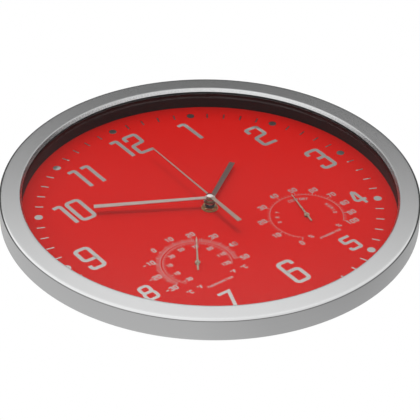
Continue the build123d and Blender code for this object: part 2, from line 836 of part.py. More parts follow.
with BuildPart() as setting_knob:
    knob_steps = [
        (knob_pivot_radius, behind_plate(0.5), behind_plate(3.4)),
        (knob_stem_radius, behind_plate(3.4), behind_plate(16.3)),
    ]
    add(turned_face(stepped_shaft(knob_steps), knob_x, knob_z))
    revolve(axis=axis_at(knob_x, knob_z))
    with BuildSketch(facing(behind_plate(motion_layer - pinion_overhang), knob_x, knob_z)):
        add(gear(knob_teeth, motion_module, knob_phase))
    extrude(amount=-pinion_thickness)
    with BuildSketch(facing(behind_plate(16.3), knob_x, knob_z)):
        Circle(4.8)
        with PolarLocations(5.1, 24):
            Circle(0.5, mode=Mode.SUBTRACT)
    extrude(amount=-2.0)
    with BuildSketch(facing(behind_plate(18.3), knob_x, knob_z)):
        Rectangle(6.0, 1.0)
    extrude(amount=0.8, mode=Mode.SUBTRACT)
save(setting_knob.part, "setting_knob")

# ---------------------------------------------------------------- hands


def bar(near_width, far_width, length):
    """A flat bar from the centre upward, with its own width at each end."""
    return outline(
        [
            (-near_width / 2, 0),
            (near_width / 2, 0),
            (far_width / 2, length),
            (-far_width / 2, length),
        ]
    )


def collet(shaft_radius, neck, flange, bottom, seat, top):
    """A collet: its flange lies under the hand, from bottom to seat, and its neck goes through it."""
    return turned_face(
        [
            (shaft_radius + seat_clearance, above_dial(top)),
            (neck, above_dial(top)),
            (neck, above_dial(seat)),
            (flange, above_dial(seat)),
            (flange, above_dial(bottom)),
            (shaft_radius + seat_clearance, above_dial(bottom)),
        ]
    )


def drooping(height, clockwise, bend, droop):
    """A sketch plane on a hand's front that starts at its bend and dips toward the dial beyond it."""
    across, along, tilt = cos(radians(clockwise)), sin(radians(clockwise)), radians(droop)
    return Plane(
        origin=(along * bend, above_dial(height) - clock_depth, across * bend),
        x_dir=(across, 0, -along),
        z_dir=(along * sin(tilt), -cos(tilt), across * sin(tilt)),
    )


hand_sheet = 0.5
second_sheet = 0.3
hand_droop = 2.1
hour_bend = 4.6
minute_bend = 3.8
hour_neck = 3.2
minute_neck = 2.4
second_neck = 1.0

with BuildPart() as hour_hand:
    with BuildSketch(facing(above_dial(hour_hand_height + hand_sheet), clockwise=hour_angle)):
        Circle(hour_neck + 2.0)
        Circle(hour_neck + seat_clearance, mode=Mode.SUBTRACT)
    extrude(amount=-hand_sheet)
    with BuildSketch(drooping(hour_hand_height + hand_sheet, hour_angle, hour_bend, hand_droop)):
        add(bar(4.0, 4.8, hour_hand_length - hour_bend))
    extrude(amount=-hand_sheet)
save(hour_hand.part, "hour_hand")

with BuildPart() as hour_hand_collet:
    add(collet(hour_tube_radius, hour_neck, 4.4, 6.1, hour_hand_height, 8.0))
    revolve(axis=axis_at())
save(hour_hand_collet.part, "hour_hand_collet")

with BuildPart() as minute_hand:
    with BuildSketch(facing(above_dial(minute_hand_height + hand_sheet), clockwise=minute_angle)):
        Circle(minute_neck + 2.0)
        Circle(minute_neck + seat_clearance, mode=Mode.SUBTRACT)
    extrude(amount=-hand_sheet)
    with BuildSketch(drooping(minute_hand_height + hand_sheet, minute_angle, minute_bend, hand_droop)):
        add(bar(3.6, 4.8, minute_hand_length - minute_bend))
    extrude(amount=-hand_sheet)
save(minute_hand.part, "minute_hand")

with BuildPart() as minute_hand_collet:
    add(collet(minute_arbor_radius, minute_neck, 3.5, 9.5, minute_hand_height, 11.2))
    revolve(axis=axis_at())
save(minute_hand_collet.part, "minute_hand_collet")

with BuildPart() as second_hand:
    with BuildSketch(facing(above_dial(second_hand_height + second_sheet), clockwise=second_angle)):
        add(bar(1.8, 1.0, second_hand_length))
        add(bar(3.2, 4.2, -second_tail_length))
        Circle(second_neck + 1.7)
        Circle(second_neck + seat_clearance, mode=Mode.SUBTRACT)
    extrude(amount=-second_sheet)
save(second_hand.part, "second_hand")

with BuildPart() as second_hand_tube:
    add(collet(seconds_tip_radius, second_neck, 1.9, 11.8, second_hand_height, seconds_arbor_top))
    revolve(axis=axis_at())
save(second_hand_tube.part, "second_hand_tube")

cap_radius = 3.2
cap_base = above_dial(second_hand_height + second_sheet)
cap_top = above_dial(cap_top_height)
cap_bore_top = above_dial(seconds_arbor_top + 0.1)

with BuildPart() as centre_cap:
    with BuildSketch(section()):
        with BuildLine():
            ThreePointArc((0, cap_top), (2.0, cap_top + 0.25), (cap_radius, cap_top + 0.9))
            Polyline(
                (cap_radius, cap_top + 0.9),
                (cap_radius, cap_base),
                (second_neck + seat_clearance, cap_base),
                (second_neck + seat_clearance, cap_bore_top),
                (0, cap_bore_top),
                (0, cap_top),
            )
        make_face()
    revolve(axis=axis_at())
save(centre_cap.part, "centre_cap")

# ---------------------------------------------------------------- thermometer and hygrometer

spindle_radius = 0.6
spindle_bore = spindle_radius + running_clearance
bush_seat = 2.0
cup_radius = 21.0
cup_wall = 1.0
cup_floor = cup_bottom - cup_wall
anchor_reach = 15.6
coil_start = 1.6
coil_end = 13.98
coil_turns = 3.5
strip_thickness = 0.4
strip_front = 23.2
strip_width = 3.0


def instrument_cup(x, z):
    """An open cup behind the dial, with two screw ears, a coil anchor and vent holes."""
    with BuildPart() as cup:
        cup_points = [
            (bush_seat + seat_clearance, cup_floor),
            (cup_radius - cup_wall, cup_floor),
            (cup_radius - cup_wall, dial_back),
            (cup_radius, dial_back),
            (cup_radius, cup_bottom),
            (bush_seat + seat_clearance, cup_bottom),
        ]
        add(turned_face(cup_points, x, z))
        revolve(axis=axis_at(x, z))
        with BuildSketch(facing(cup_floor, x, z)):
            SlotCenterToCenter(2 * ear_reach, 7.0)
            Circle(cup_radius - 0.5, mode=Mode.SUBTRACT)
            with Locations((-ear_reach, 0), (ear_reach, 0)):
                Circle(1.2, mode=Mode.SUBTRACT)
        extrude(amount=-cup_wall)
        with BuildSketch(facing(cup_floor, x, z)):
            with Locations((anchor_reach, 0)):
                Circle(1.2)
        extrude(amount=cup_floor - strip_front)
        with BuildSketch(facing(cup_floor, x, z)):
            with PolarLocations(11.5, 6, start_angle=30):
                Circle(1.9)
        extrude(amount=-cup_wall, mode=Mode.SUBTRACT)
    return cup.part


def instrument_bush(x, z):
    """The brass bush in the cup's floor that carries the spindle."""
    bush_points = [
        (spindle_bore, cup_floor - 0.8),
        (3.0, cup_floor - 0.8),
        (3.0, cup_floor),
        (bush_seat, cup_floor),
        (bush_seat, cup_bottom + 0.6),
        (spindle_bore, cup_bottom + 0.6),
    ]
    with BuildPart() as bush:
        add(turned_face(bush_points, x, z))
        revolve(axis=axis_at(x, z))
    return bush.part


def instrument_spindle(x, z):
    """The spindle, with the collar that the coil's inner end is fixed to."""
    steps = [
        (spindle_radius, above_dial(2.5), strip_front - 0.4),
        (1.5, strip_front - 0.4, strip_front + strip_width + 0.4),
        (spindle_radius, strip_front + strip_width + 0.4, cup_bottom + 0.4),
    ]
    with BuildPart() as spindle:
        add(turned_face(stepped_shaft(steps), x, z))
        revolve(axis=axis_at(x, z))
    return spindle.part


def bimetal_coil(x, z):
    """A flat spiral strip from the spindle's collar to the cup's anchor."""

    def edge(shift):
        count = 64
        points = []
        for number in range(count + 1):
            share = number / count
            radius = coil_start + (coil_end - coil_start) * share + shift
            points.append(polar(radius, 360 * coil_turns * (share - 1)))
        return points

    inner = edge(0)
    outer = edge(strip_thickness)
    with BuildPart() as coil:
        with BuildSketch(facing(strip_front, x, z)):
            with BuildLine():
                Spline(*inner)
                Spline(*outer)
                Line(inner[0], outer[0])
                Line(inner[-1], outer[-1])
            make_face()
        extrude(amount=-strip_width)
    return coil.part


def needle(x, z, angle, length, tail):
    """A thin tapered pointer with a round hub, pressed on the spindle."""
    with BuildPart() as pointer:
        with BuildSketch(facing(above_dial(1.8), x, z, angle)):
            add(bar(1.7, 0.7, length))
            add(bar(1.7, 1.5, -tail))
            Circle(2.3)
            Circle(spindle_radius + seat_clearance, mode=Mode.SUBTRACT)
        extrude(amount=-0.3)
        with BuildSketch(facing(above_dial(2.6), x, z)):
            Circle(1.3)
            Circle(spindle_radius + seat_clearance, mode=Mode.SUBTRACT)
        extrude(amount=-0.8)
    return pointer.part


instruments = [
    ("thermometer", thermometer_x, instrument_z, thermometer_angle, 34.0, 10.5),
    ("hygrometer", hygrometer_x, instrument_z, hygrometer_angle, 30.5, 9.5),
]

for name, x, z, angle, length, tail in instruments:
    save(instrument_cup(x, z), name + "_cup")
    save(instrument_bush(x, z), name + "_bush")
    save(instrument_spindle(x, z), name + "_spindle")
    save(bimetal_coil(x, z), name + "_coil")
    save(needle(x, z, angle, length, tail), name + "_pointer")

with BuildPart() as instrument_screws:
    with BuildSketch(facing(cup_floor)):
        with Locations(*ear_places):
            Circle(2.2)
            Rectangle(3.0, 0.5, mode=Mode.SUBTRACT)
    extrude(amount=1.2)
    with BuildSketch(facing(cup_floor)):
        with Locations(*ear_places):
            Circle(1.05)
    extrude(amount=-6.5)
save(instrument_screws.part, "instrument_screws")
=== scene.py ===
"""Looks of a round wall clock with a red dial, a thermometer and a hygrometer.

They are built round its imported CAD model. The face looks along -Y, 12 o'clock is up, the wall is y = 0."""

import json
from math import atan2, cos, hypot, pi, radians, sin, tan

import bpy
from mathutils import Matrix, Vector


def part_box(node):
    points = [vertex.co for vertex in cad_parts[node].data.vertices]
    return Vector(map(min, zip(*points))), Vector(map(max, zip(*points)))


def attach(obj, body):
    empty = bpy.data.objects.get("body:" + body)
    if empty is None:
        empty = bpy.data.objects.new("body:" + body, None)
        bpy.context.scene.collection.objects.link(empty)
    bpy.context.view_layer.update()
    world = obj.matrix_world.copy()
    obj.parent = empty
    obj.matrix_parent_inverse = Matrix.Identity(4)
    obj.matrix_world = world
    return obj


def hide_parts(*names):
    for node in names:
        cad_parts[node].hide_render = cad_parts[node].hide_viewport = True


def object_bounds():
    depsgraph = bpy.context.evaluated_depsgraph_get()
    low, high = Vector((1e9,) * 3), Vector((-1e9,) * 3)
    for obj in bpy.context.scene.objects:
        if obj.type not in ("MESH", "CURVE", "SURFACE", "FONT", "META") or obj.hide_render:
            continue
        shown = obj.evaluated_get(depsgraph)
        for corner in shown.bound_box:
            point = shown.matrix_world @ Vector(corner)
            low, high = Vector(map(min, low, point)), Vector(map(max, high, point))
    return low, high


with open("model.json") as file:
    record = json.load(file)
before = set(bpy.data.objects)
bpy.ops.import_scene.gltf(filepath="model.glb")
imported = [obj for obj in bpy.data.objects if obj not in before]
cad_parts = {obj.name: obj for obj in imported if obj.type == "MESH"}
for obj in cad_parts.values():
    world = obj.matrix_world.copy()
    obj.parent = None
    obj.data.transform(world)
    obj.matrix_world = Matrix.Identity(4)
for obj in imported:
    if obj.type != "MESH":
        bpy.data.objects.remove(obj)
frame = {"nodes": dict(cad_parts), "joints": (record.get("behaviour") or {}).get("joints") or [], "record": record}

MM = 0.001
cad_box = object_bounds()
nodes = frame["nodes"]

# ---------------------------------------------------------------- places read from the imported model

CASE_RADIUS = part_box("bezel")[1].x
CASE_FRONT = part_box("bezel")[0].y
BAND_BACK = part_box("bezel")[1].y
DIAL_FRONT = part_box("dial")[0].y
JOINT_PLACE = {j["name"]: j["pos_m"] for j in frame["joints"]}

# ---------------------------------------------------------------- camera

# The main view looks up at the face from below and from the left, through a long lens.
CAMERA_PLACE = Vector((-0.7971, -0.9470, -1.0330))
CAMERA_RIGHT = Vector((0.79897, -0.01740, -0.60113))
CAMERA_UP = Vector((0.33674, -0.81523, 0.47117))
LENS = 163.65
SENSOR = 36.0

camera_data = bpy.data.cameras.new("camera")
camera_data.lens = LENS
camera_data.sensor_width = SENSOR
camera_data.clip_start = 0.05
camera_data.clip_end = 100.0
camera = bpy.data.objects.new("camera", camera_data)
bpy.context.scene.collection.objects.link(camera)
right = CAMERA_RIGHT.normalized()
back = right.cross(CAMERA_UP).normalized()
up = back.cross(right)
facing = Matrix((right, up, back)).transposed().to_4x4()
camera.matrix_world = Matrix.Translation(CAMERA_PLACE) @ facing
bpy.context.scene.camera = camera

# ---------------------------------------------------------------- light

BACKDROP = 1.0
BOX_STRENGTH = 1.08
# What the clock sees round it, fixed in the world. A wide soft box lies over the front and the main
# camera's side, and ends in a soft edge whose mirror image crosses the bezel's face; behind it are a dim
# wall and a pale back, and all of it falls off to the main camera's right. Each list holds stops of a
# cosine to its direction and the level there: to the box, to the front, to the back, and to the right.
BOX_WAY = Vector((-0.351, -0.816, -0.459))
BOX_LEVELS = [(-1.0, 0.04), (-0.15, 0.05), (-0.05, 0.14), (0.0, 0.40), (0.075, 0.97), (0.20, 1.0),
              (0.5, 0.97), (1.0, 0.90)]
FRONT_LEVELS = [(-1.0, 0.0), (0.08, 0.0), (0.25, 0.45), (0.45, 1.0), (1.0, 1.0)]
BACK_LEVELS = [(-1.0, 0.0), (0.02, 0.06), (0.30, 0.46), (1.0, 0.52)]
RIGHT_LEVELS = [(-1.0, 1.0), (-0.1, 1.0), (0.1, 0.93), (0.5, 0.82), (1.0, 0.70)]

bpy.context.scene.view_settings.view_transform = "Standard"
world = bpy.data.worlds.new("studio")
bpy.context.scene.world = world
world.use_nodes = True
tree = world.node_tree
tree.nodes.clear()


def node(tree, kind, links=None, **values):
    """A shader node with its sockets set by name or number; links maps a socket to an output socket."""
    made = tree.nodes.new(kind)
    for key, value in values.items():
        setattr(made, key, value)
    for key, source in (links or {}).items():
        socket = made.inputs[key]
        if isinstance(source, bpy.types.NodeSocket):
            tree.links.new(source, socket)
        else:
            socket.default_value = source
    return made


def calc(tree, operation, *values):
    """One math node's result."""
    return node(tree, "ShaderNodeMath", dict(enumerate(values)), operation=operation).outputs[0]


def cosine(tree, direction, way):
    """How far a direction points along a fixed way, from -1 to 1."""
    product = node(tree, "ShaderNodeVectorMath", {0: direction, 1: way}, operation="DOT_PRODUCT")
    return product.outputs["Value"]


def noise(tree, place, scale, detail):
    """A noise's value, mostly between NOISE_LOW and NOISE_HIGH."""
    return node(tree, "ShaderNodeTexNoise", {"Vector": place, "Scale": scale, "Detail": detail}).outputs[0]


def ramp(tree, value, start, end, low, high):
    """A value's stretch from start to end, mapped to low and high and clamped."""
    return node(tree, "ShaderNodeMapRange", {0: value, 1: start, 2: end, 3: low, 4: high}).outputs[0]


NOISE_LOW, NOISE_HIGH = 0.3, 0.7


def between(tree, value, low, high):
    """A noise spread out from low to high."""
    return ramp(tree, value, NOISE_LOW, NOISE_HIGH, low, high)


def levels(tree, value, stops):
    """A smooth grey level that follows a value from -1 to 1 through its stops."""
    spread = node(tree, "ShaderNodeMapRange", {0: value, 1: -1.0, 2: 1.0}).outputs[0]
    curve = node(tree, "ShaderNodeValToRGB", {0: spread})
    curve.color_ramp.interpolation = "EASE"
    elements = curve.color_ramp.elements
    while len(elements) < len(stops):
        elements.new(0.5)
    for element, (place, level) in zip(elements, stops):
        element.position = (place + 1) / 2
        element.color = (level, level, level, 1.0)
    return curve.outputs[0]


direction = node(tree, "ShaderNodeTexCoord").outputs["Generated"]
toward_box = cosine(tree, direction, BOX_WAY.normalized())
backward = node(tree, "ShaderNodeSeparateXYZ", {0: direction}).outputs["Y"]
frontward = calc(tree, "MULTIPLY", backward, -1.0)
wide_box = levels(tree, toward_box, BOX_LEVELS)
box = calc(tree, "MULTIPLY", wide_box, levels(tree, frontward, FRONT_LEVELS))
behind = levels(tree, backward, BACK_LEVELS)
widest = calc(tree, "MAXIMUM", box, behind)
falloff = levels(tree, cosine(tree, direction, right), RIGHT_LEVELS)
surround = calc(tree, "MULTIPLY", widest, falloff)
seen = node(tree, "ShaderNodeBackground", {0: (BACKDROP, BACKDROP, BACKDROP, 1.0), 1: 1.0})
felt = node(tree, "ShaderNodeBackground", {0: surround, 1: BOX_STRENGTH})
path = node(tree, "ShaderNodeLightPath")
blend = node(tree, "ShaderNodeMixShader", {
    0: path.outputs["Is Camera Ray"], 1: felt.outputs[0], 2: seen.outputs[0]})
node(tree, "ShaderNodeOutputWorld", {0: blend.outputs[0]})

KEY_PLACE = Vector((0.0, -2.0, 0.0))
KEY_SIZE = 0.34
KEY_POWER = 12.0
KEY_COLOR = (1.0, 0.985, 0.96)

key_data = bpy.data.lights.new("key", "AREA")
key_data.shape = "DISK"
key_data.size = KEY_SIZE
key_data.energy = KEY_POWER
key_data.color = KEY_COLOR
key = bpy.data.objects.new("key", key_data)
bpy.context.scene.collection.objects.link(key)
key.location = KEY_PLACE
key.rotation_euler = (radians(90), 0, 0)
key.visible_glossy = False

# ---------------------------------------------------------------- materials


def material(name):
    """An empty node material with its output and object coordinates."""
    made = bpy.data.materials.new(name)
    made.use_nodes = True
    made.node_tree.nodes.clear()
    output = node(made.node_tree, "ShaderNodeOutputMaterial")
    place = node(made.node_tree, "ShaderNodeTexCoord").outputs["Object"]
    return made, made.node_tree, output, place


def shade(color, factor):
    """A colour made lighter or darker."""
    return tuple(min(1.0, c * factor) for c in color) + (1.0,)


def two_tones(tree, value, color, spread):
    """A colour that goes from a little darker to a little lighter with a value."""
    tones = node(tree, "ShaderNodeMix", {0: value}, data_type="RGBA")
    tones.inputs[6].default_value = shade(color, 1 - spread)
    tones.inputs[7].default_value = shade(color, 1 + spread)
    return tones.outputs[2]


def finish(name, color, metallic=0.0, rough=0.5, spread=0.06, rough_spread=0.06, grain=900.0, relief=0.01,
           broad=25.0, specular=0.5, stretch=(1, 1, 1)):
    """A plain material with broad tone changes, a fine grain in its roughness, and a fine relief in mm."""
    made, tree, output, place = material(name)
    scaled = node(tree, "ShaderNodeVectorMath", {0: place, 1: stretch}, operation="MULTIPLY").outputs[0]
    wide = noise(tree, scaled, broad, 3.0)
    fine = noise(tree, scaled, grain, 2.0)
    both = calc(tree, "ADD", wide, fine)
    half = calc(tree, "MULTIPLY", both, 0.5)
    roughness = between(tree, fine, rough - rough_spread, rough + rough_spread)
    bump = node(tree, "ShaderNodeBump", {"Strength": 1.0, "Distance": relief * MM, "Height": fine})
    surface = node(tree, "ShaderNodeBsdfPrincipled", {
        "Base Color": two_tones(tree, half, color, spread), "Metallic": metallic, "Roughness": roughness,
        "Normal": bump.outputs[0], "Specular IOR Level": specular})
    tree.links.new(surface.outputs[0], output.inputs[0])
    return made


LIP_END, LIP_ROUGH, LIP_BLUR = 157.5 * MM, 0.04, 0.3 * MM
EDGE_INNER, EDGE_OUTER, EDGE_BLUR = 172.7 * MM, 174.9 * MM, (0.4 * MM, 0.3 * MM)
EDGE_POLISH = 0.12
RING_TURN = 0.012


def turned_metal(name, color, rough=0.22, relief=0.0025, lines=1400.0, spread=0.03):
    """Satin metal brushed round the Y axis: fine rings in its relief and roughness, and slow tone changes.

    Its lip, inside LIP_END, is a little rougher, and its edge, from EDGE_INNER to EDGE_OUTER, is polished."""
    made, tree, output, place = material(name)
    split = node(tree, "ShaderNodeSeparateXYZ", {0: place})
    flat = node(tree, "ShaderNodeCombineXYZ", {0: split.outputs["X"], 1: split.outputs["Z"]}).outputs[0]
    radius = node(tree, "ShaderNodeVectorMath", {0: flat}, operation="LENGTH").outputs["Value"]
    turn = calc(tree, "ARCTAN2", split.outputs["Z"], split.outputs["X"])
    around = calc(tree, "MULTIPLY", turn, RING_TURN)
    unrolled = node(tree, "ShaderNodeCombineXYZ", {0: radius, 1: around, 2: split.outputs["Y"]}).outputs[0]
    rings = noise(tree, unrolled, lines, 3.0)
    specks = noise(tree, place, 1100.0, 2.0)
    wide = noise(tree, place, 9.0, 2.0)
    height = calc(tree, "ADD", rings, specks)
    satin = between(tree, specks, rough - 0.03, rough + 0.04)
    lip = ramp(tree, radius, LIP_END - LIP_BLUR, LIP_END + LIP_BLUR, LIP_ROUGH, 0.0)
    rise = ramp(tree, radius, EDGE_INNER, EDGE_INNER + EDGE_BLUR[0], 0.0, -EDGE_POLISH)
    fall = ramp(tree, radius, EDGE_OUTER - EDGE_BLUR[1], EDGE_OUTER, 0.0, EDGE_POLISH)
    ends = calc(tree, "ADD", lip, calc(tree, "ADD", rise, fall))
    uneven = calc(tree, "ADD", satin, ends)
    bump = node(tree, "ShaderNodeBump", {"Strength": 1.0, "Distance": relief * MM, "Height": height})
    surface = node(tree, "ShaderNodeBsdfPrincipled", {
        "Base Color": two_tones(tree, wide, color, spread), "Metallic": 1.0, "Roughness": uneven,
        "Normal": bump.outputs[0]})
    tree.links.new(surface.outputs[0], output.inputs[0])
    return made


def silver_print(name, color, sharp=0.13, soft=0.36, share=0.32):
    """Metallic ink: a bright mirror-like layer with a softer one in it, and a fine grain."""
    uneven = 0.01
    made, tree, output, place = material(name)
    grain = noise(tree, place, 2200.0, 2.0)
    tones = two_tones(tree, grain, color, 0.06)
    bump = node(tree, "ShaderNodeBump", {"Strength": 1.0, "Distance": 0.002 * MM, "Height": grain})
    layers = []
    for rough in (sharp, soft):
        roughness = between(tree, grain, rough - uneven, rough + uneven)
        layers.append(node(tree, "ShaderNodeBsdfPrincipled", {
            "Base Color": tones, "Metallic": 1.0, "Roughness": roughness,
            "Normal": bump.outputs[0]}).outputs[0])
    mix = node(tree, "ShaderNodeMixShader", {0: share, 1: layers[0], 2: layers[1]})
    tree.links.new(mix.outputs[0], output.inputs[0])
    return made


def brushed_hand(name, color, rough=0.36, uneven=0.02):
    """Sheet metal brushed along a hand: its mirror image is drawn out across the hand's length."""
    made, tree, output, place = material(name)
    split = node(tree, "ShaderNodeSeparateXYZ", {0: place})
    turned = calc(tree, "MULTIPLY", split.outputs["X"], -1.0)
    across = node(tree, "ShaderNodeCombineXYZ", {0: split.outputs["Z"], 2: turned}).outputs[0]
    tangent = node(tree, "ShaderNodeVectorTransform", {0: across}, vector_type="VECTOR",
                   convert_from="OBJECT", convert_to="WORLD").outputs[0]
    grain = noise(tree, place, 1600.0, 2.0)
    roughness = between(tree, grain, rough - uneven, rough + uneven)
    surface = node(tree, "ShaderNodeBsdfPrincipled", {
        "Base Color": two_tones(tree, grain, color, 0.05), "Metallic": 1.0, "Roughness": roughness,
        "Anisotropic": 0.9, "Tangent": tangent})
    tree.links.new(surface.outputs[0], output.inputs[0])
    return made


GLASS_RISE, GLASS_STEEP, GLASS_LEAST = 0.95, 5.0, 0.014


def window_glass(name):
    """Clear flat glass that mirrors more at a slant, with faint smears in its mirror."""
    made, tree, output, place = material(name)
    smears = noise(tree, place, 18.0, 4.0)
    rough = between(tree, smears, 0.0, 0.03)
    mirror = node(tree, "ShaderNodeBsdfGlossy", {"Color": (1, 1, 1, 1), "Roughness": rough})
    clear = node(tree, "ShaderNodeBsdfTransparent", {"Color": (0.985, 0.99, 0.987, 1)})
    facing = node(tree, "ShaderNodeLayerWeight", {"Blend": 0.5}).outputs["Facing"]
    rise = calc(tree, "POWER", facing, GLASS_STEEP)
    share = calc(tree, "MULTIPLY_ADD", rise, GLASS_RISE, GLASS_LEAST)
    mix = node(tree, "ShaderNodeMixShader", {0: share, 1: clear.outputs[0], 2: mirror.outputs[0]})
    tree.links.new(mix.outputs[0], output.inputs[0])
    return made


FINISHES = {
    "satin_aluminium": turned_metal("satin_aluminium", (0.80, 0.802, 0.805)),
    "black_rubber": finish("black_rubber", (0.025, 0.025, 0.025), rough=0.75, spread=0.15, relief=0.02),
    "clear_glass": window_glass("clear_glass"),
    # Black plastic with a faint red tint: the tint is painted light, the red that the dial throws back onto the
    # case's dark inner wall.
    "black_plastic": finish("black_plastic", (0.016, 0.009, 0.009), rough=0.55, spread=0.10, relief=0.004,
                            broad=12.0, specular=0.2),
    "red_dial": finish("red_dial", (0.69, 0.006, 0.003), rough=0.5, spread=0.03, rough_spread=0.04,
                       relief=0.002, broad=14.0, specular=0.04),
    "housing_plastic": finish("housing_plastic", (0.045, 0.045, 0.047), rough=0.55, spread=0.12,
                              grain=1300.0, relief=0.03),
    "zinc_steel": finish("zinc_steel", (0.62, 0.62, 0.60), metallic=1.0, rough=0.32, spread=0.07,
                         grain=700.0, relief=0.004),
    "movement_plastic": finish("movement_plastic", (0.030, 0.030, 0.032), rough=0.45, spread=0.12,
                               grain=1800.0, relief=0.015),
    "brass": finish("brass", (0.46, 0.36, 0.20), metallic=1.0, rough=0.30, spread=0.12,
                    grain=1500.0, relief=0.006, broad=300.0),
    "white_plastic": finish("white_plastic", (0.82, 0.81, 0.76), rough=0.42, spread=0.04, relief=0.004),
    "board_green": finish("board_green", (0.03, 0.20, 0.08), rough=0.30, spread=0.18, broad=180.0,
                          relief=0.006),
    "bright_steel": finish("bright_steel", (0.70, 0.70, 0.69), metallic=1.0, rough=0.22, spread=0.05,
                           relief=0.003),
    "core_steel": finish("core_steel", (0.40, 0.40, 0.41), metallic=1.0, rough=0.40, spread=0.10,
                         grain=1500.0, relief=0.005),
    "copper_wire": finish("copper_wire", (0.55, 0.21, 0.07), metallic=0.9, rough=0.28, spread=0.15,
                          grain=3000.0, relief=0.03, stretch=(2.5, 0.1, 0.1)),
    "hand_silver": brushed_hand("hand_silver", (0.68, 0.60, 0.56)),
    # Painted shade: the hour hand's silver is a darker copy of the minute hand's, for the dimmer light it
    # reflects.
    "hour_hand_shaded_silver": brushed_hand("hour_hand_shaded_silver", (0.46, 0.40, 0.37)),
    "second_hand_silver": brushed_hand("second_hand_silver", (0.56, 0.45, 0.39)),
    "chrome": finish("chrome", (0.80, 0.78, 0.76), metallic=1.0, rough=0.10, spread=0.03, relief=0.001),
    "bimetal": finish("bimetal", (0.55, 0.46, 0.33), metallic=1.0, rough=0.35, spread=0.08, relief=0.004),
    "needle_brass": finish("needle_brass", (0.62, 0.52, 0.40), metallic=1.0, rough=0.30, spread=0.06,
                           relief=0.002),
    "silver_ink": silver_print("silver_ink", (0.82, 0.79, 0.76)),
}


JACKET_START, JACKET_END = 0.02, 0.955


def battery_jacket():
    """A battery's printed jacket: a dark barrel, a pale band and a bare steel end, along X."""
    made, tree, output, place = material("battery_jacket")
    low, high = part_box("battery")
    split = node(tree, "ShaderNodeSeparateXYZ", {0: place})
    along = node(tree, "ShaderNodeMapRange", {0: split.outputs["X"], 1: low.x, 2: high.x})
    bands, ends = (node(tree, "ShaderNodeValToRGB", {0: along.outputs[0]}) for _ in range(2))
    colours = [(0.0, (0.55, 0.55, 0.54)), (JACKET_START, (0.035, 0.037, 0.042)), (0.62, (0.75, 0.74, 0.70)),
               (0.66, (0.50, 0.10, 0.04)), (JACKET_END, (0.60, 0.60, 0.58))]
    metal = [(0.0, (1.0,) * 3), (JACKET_START, (0.15,) * 3), (JACKET_END, (1.0,) * 3)]
    for blocks, stops in ((bands, colours), (ends, metal)):
        blocks.color_ramp.interpolation = "CONSTANT"
        while len(blocks.color_ramp.elements) < len(stops):
            blocks.color_ramp.elements.new(0.5)
        for element, (spot, colour) in zip(blocks.color_ramp.elements, stops):
            element.position = spot
            element.color = (*colour, 1)
    wrap = noise(tree, place, 700.0, 2.0)
    rough = between(tree, wrap, 0.20, 0.30)
    bump = node(tree, "ShaderNodeBump", {"Distance": 0.004 * MM, "Height": wrap})
    surface = node(tree, "ShaderNodeBsdfPrincipled", {
        "Base Color": bands.outputs[0], "Metallic": ends.outputs[0], "Roughness": rough,
        "Normal": bump.outputs[0]})
    tree.links.new(surface.outputs[0], output.inputs[0])
    return made


FINISHES["battery_jacket"] = battery_jacket()

# The hour hand takes a darker copy of the minute hand's silver, as painted shade for the dimmer light it reflects,
# and the second hand a little browner one.
OWN_LOOK = {"hour_hand": "hour_hand_shaded_silver", "second_hand": "second_hand_silver"}
for part in frame["record"]["subparts"]:
    shape = nodes[part["node"]]
    shape.data.materials.clear()
    shape.data.materials.append(FINISHES[OWN_LOOK.get(part["node"], part["material_slot"])])

# ---------------------------------------------------------------- mesh tools


def mesh_object(name, verts, faces, slot, smooth=False, look=None):
    """A mesh object in the scene with one material."""
    data = bpy.data.meshes.new(name)
    data.from_pydata(verts, [], faces)
    data.validate()
    data.polygons.foreach_set("use_smooth", [smooth] * len(data.polygons))
    data.materials.append(FINISHES[look or slot])
    made = bpy.data.objects.new(name, data)
    bpy.context.scene.collection.objects.link(made)
    return made


def rounded(points, radius, closed, steps=6):
    """A path's points with each corner rounded, as far as the path's sides allow."""
    count = len(points)
    found = []
    for index, point in enumerate(points):
        if not closed and index in (0, count - 1):
            found.append(Vector(point))
            continue
        here = Vector(point)
        before = Vector(points[index - 1]) - here
        after = Vector(points[(index + 1) % count]) - here
        bend = before.angle(after)
        if bend > pi - 0.05:
            found.append(here)
            continue
        reach = min(radius / tan(bend / 2), 0.49 * before.length, 0.49 * after.length)
        turn = reach * tan(bend / 2)
        middle = here + (before.normalized() + after.normalized()).normalized() * hypot(turn, reach)
        start = here + before.normalized() * reach - middle
        end = here + after.normalized() * reach - middle
        sweep = atan2(start.x * end.y - start.y * end.x, start.dot(end))
        for step in range(steps + 1):
            part = sweep * step / steps
            found.append(middle + Vector((start.x * cos(part) - start.y * sin(part),
                                          start.x * sin(part) + start.y * cos(part))))
    return found


